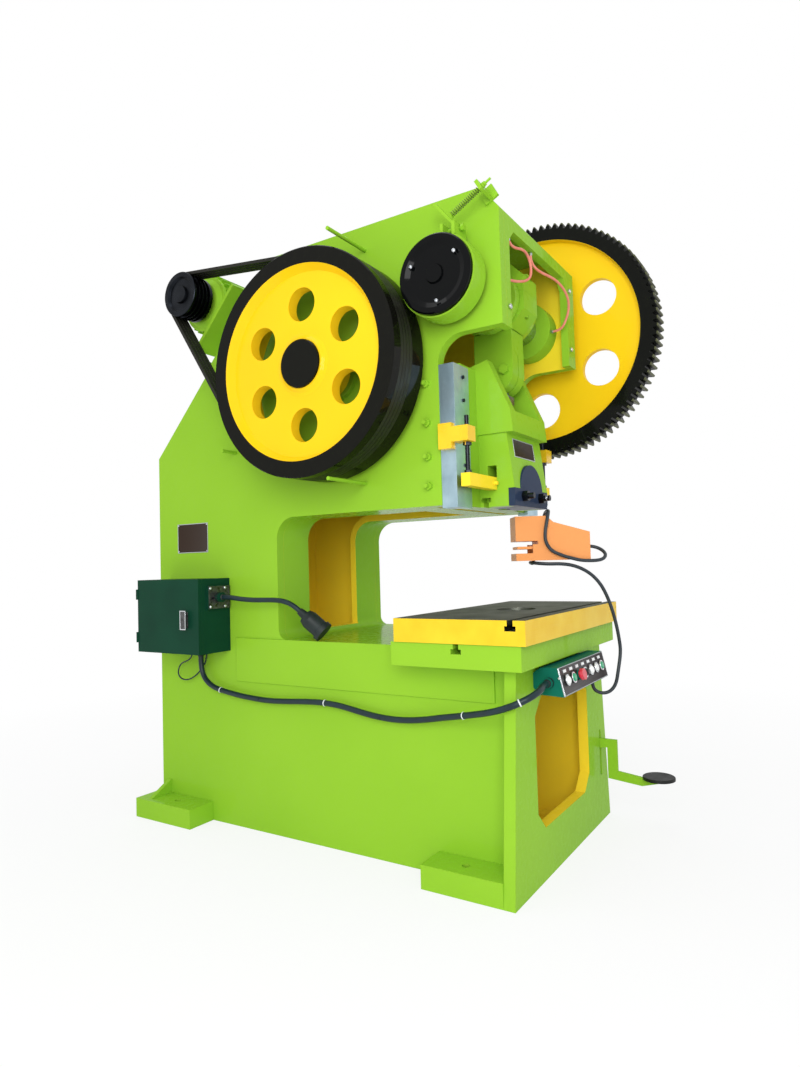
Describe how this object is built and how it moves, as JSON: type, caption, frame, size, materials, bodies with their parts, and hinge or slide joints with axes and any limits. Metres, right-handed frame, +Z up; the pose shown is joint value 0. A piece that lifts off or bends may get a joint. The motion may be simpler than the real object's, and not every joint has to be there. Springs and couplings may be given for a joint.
{
  "type": "mechanical stamping press",
  "caption": "Open-throat mechanical power press with flywheel, exposed gear, crank, slide, bolster, control box and hanging foot switch.",
  "frame": {"origin": "on the floor, midway between the four anchor holes", "axes": "+X to the gear's side, +Y to the rear, +Z up; the operator stands at -Y"},
  "size_m": [1.1763, 2.097, 2.557],
  "materials": {
    "frame_green": "glossy lime green enamel",
    "yellow": "glossy yellow enamel",
    "black_paint": "glossy black enamel",
    "dark_green": "satin dark green enamel",
    "bolster_steel": "planed iron, oiled",
    "machined": "machined steel",
    "gib_steel": "scraped iron, steel blue",
    "dark_steel": "blued steel",
    "belt_rubber": "dull",
    "cord_rubber": "satin",
    "hose_red": "satin",
    "switch_orange": "satin orange enamel",
    "plastic_white": "glossy",
    "plastic_green": "glossy",
    "plastic_red": "glossy",
    "plastic_black": "glossy"
  },
  "bodies": {
    "press_frame": {"side_plate_left": "frame_green", "side_plate_right": "frame_green", "base_front_plate": "frame_green", "head_front_flange": "frame_green", "head_top_plate": "frame_green", "rear_cover": "frame_green", "throat_lining": "frame_green", "slide_housing": "frame_green", "inner_web": "frame_green", "anchor_feet": "frame_green", "bed_slab": "frame_green", "bolster": "bolster_steel", "shaft_bearings": "frame_green", "v_belts": "belt_rubber", "motor_body": "frame_green", "motor_fan_cover": "frame_green", "motor_base_plate": "frame_green", "motor_mounts": "frame_green", "brake_band": "frame_green", "brake_bracket": "frame_green", "brake_spring": "dark_steel", "guard_studs": "frame_green", "gib_left": "gib_steel", "gib_right": "gib_steel", "gib_screws": "machined", "knock_out_stops": "yellow", "cabinet_box": "dark_green", "control_box": "dark_green", "conduit": "cord_rubber", "plug_cord": "cord_rubber", "cord_plug": "cord_rubber", "oil_hoses": "hose_red"},
    "gear": {"large_gear": "yellow"},
    "crank": {"crankshaft": "machined", "clutch_cover": "machined", "brake_drum": "black_paint"},
    "rod": {"connecting_rod": "frame_green", "rod_cap": "frame_green", "rod_bolts": "dark_steel", "ball_screw": "machined"},
    "ram": {"slide": "frame_green", "die_clamp": "dark_steel", "clamp_bolts": "machined", "foot_switch_body": "switch_orange", "tie_wire": "cord_rubber", "foot_switch_cord": "cord_rubber"},
    "treadle": {"foot_switch_treadle": "dark_steel"},
    "knock_out": {"knock_out_bar": "machined"},
    "countershaft": {"pinion_shaft": "machined", "flywheel": "yellow"},
    "motor_rotor": {"motor_pulley": "dark_steel"},
    "door": {"cabinet_door": "dark_green"},
    "handle": {"door_handle": "plastic_black"},
    "pedal": {"pedal_lever": "frame_green", "pedal_pad": "black_paint"},
    "start_button": {"button_start": "plastic_green"},
    "stop_button": {"button_stop": "plastic_red"},
    "mode_button": {"button_mode": "plastic_black"},
    "white_button": {"button_white": "plastic_white"},
    "jog_button": {"button_jog": "plastic_green"}
  },
  "joints": [
    {"name": "gear_spin", "type": "hinge", "parent": "press_frame", "child": "gear", "pos_m": [0.47, -0.685, 2.042], "axis": [1, 0, 0], "continuous": true},
    {"name": "countershaft_spin", "type": "hinge", "parent": "press_frame", "child": "countershaft", "pos_m": [0, -0.16346, 1.812], "axis": [1, 0, 0], "continuous": true},
    {"name": "motor_spin", "type": "hinge", "parent": "press_frame", "child": "motor_rotor", "pos_m": [-0.5, 0.49, 2.22253], "axis": [1, 0, 0], "continuous": true},
    {"name": "crank_turn", "type": "hinge", "parent": "press_frame", "child": "crank", "pos_m": [0, -0.685, 2.042], "axis": [-1, 0, 0], "range_deg": [0, 180]},
    {"name": "rod_swing", "type": "hinge", "parent": "crank", "child": "rod", "pos_m": [0, -0.685, 2.092], "axis": [-1, 0, 0], "range_deg": [-180, 0]},
    {"name": "slide_travel", "type": "slide", "parent": "press_frame", "child": "ram", "axis": [0, 0, -1], "range_m": [0, 0.1], "deforming": ["foot_switch_cord"]},
    {"name": "knock_out_lift", "type": "slide", "parent": "ram", "child": "knock_out", "axis": [0, 0, 1], "range_m": [0, 0.044]},
    {"name": "treadle_press", "type": "hinge", "parent": "ram", "child": "treadle", "pos_m": [0.03796, -0.77845, 1.125], "axis": [0.8434, 0.5373, 0], "range_deg": [-8, 0], "stiffness_Nm_per_rad": 8, "springref_deg": 17.19},
    {"name": "pedal_press", "type": "hinge", "parent": "press_frame", "child": "pedal", "pos_m": [0.4, -0.78, 0.3], "axis": [1, 0, 0], "range_deg": [0, 10], "stiffness_Nm_per_rad": 60, "springref_deg": -14.32},
    {"name": "cabinet_door_swing", "type": "hinge", "parent": "press_frame", "child": "door", "pos_m": [-0.544, 0.814, 0.884], "axis": [0, 0, -1], "range_deg": [0, 110]},
    {"name": "handle_turn", "type": "hinge", "parent": "door", "child": "handle", "pos_m": [-0.55, 0.505, 0.886], "axis": [-1, 0, 0], "range_deg": [0, 90]},
    {"name": "start_press", "type": "slide", "parent": "press_frame", "child": "start_button", "axis": [0, 0.9737, -0.2279], "range_m": [0, 0.004], "stiffness_N_per_m": 400, "springref_m": -0.002},
    {"name": "stop_press", "type": "slide", "parent": "press_frame", "child": "stop_button", "axis": [0, 0.9737, -0.2279], "range_m": [0, 0.004], "stiffness_N_per_m": 400, "springref_m": -0.002},
    {"name": "mode_press", "type": "slide", "parent": "press_frame", "child": "mode_button", "axis": [0, 0.9737, -0.2279], "range_m": [0, 0.004], "stiffness_N_per_m": 400, "springref_m": -0.002},
    {"name": "white_press", "type": "slide", "parent": "press_frame", "child": "white_button", "axis": [0, 0.9737, -0.2279], "range_m": [0, 0.004], "stiffness_N_per_m": 400, "springref_m": -0.002},
    {"name": "jog_press", "type": "slide", "parent": "press_frame", "child": "jog_button", "axis": [0, 0.9737, -0.2279], "range_m": [0, 0.004], "stiffness_N_per_m": 400, "springref_m": -0.002}
  ],
  "couplings": [
    {"joint": "countershaft_spin", "follows": "gear_spin", "ratio": -7.7692},
    {"joint": "motor_spin", "follows": "gear_spin", "ratio": -35.215},
    {"joint": "rod_swing", "follows": "crank_turn", "ratio": -1},
    {"joint": "slide_travel", "follows": "crank_turn", "m_per_rad": 0.031831},
    {"joint": "knock_out_lift", "follows": "crank_turn", "m_per_rad": 0.014}
  ]
}
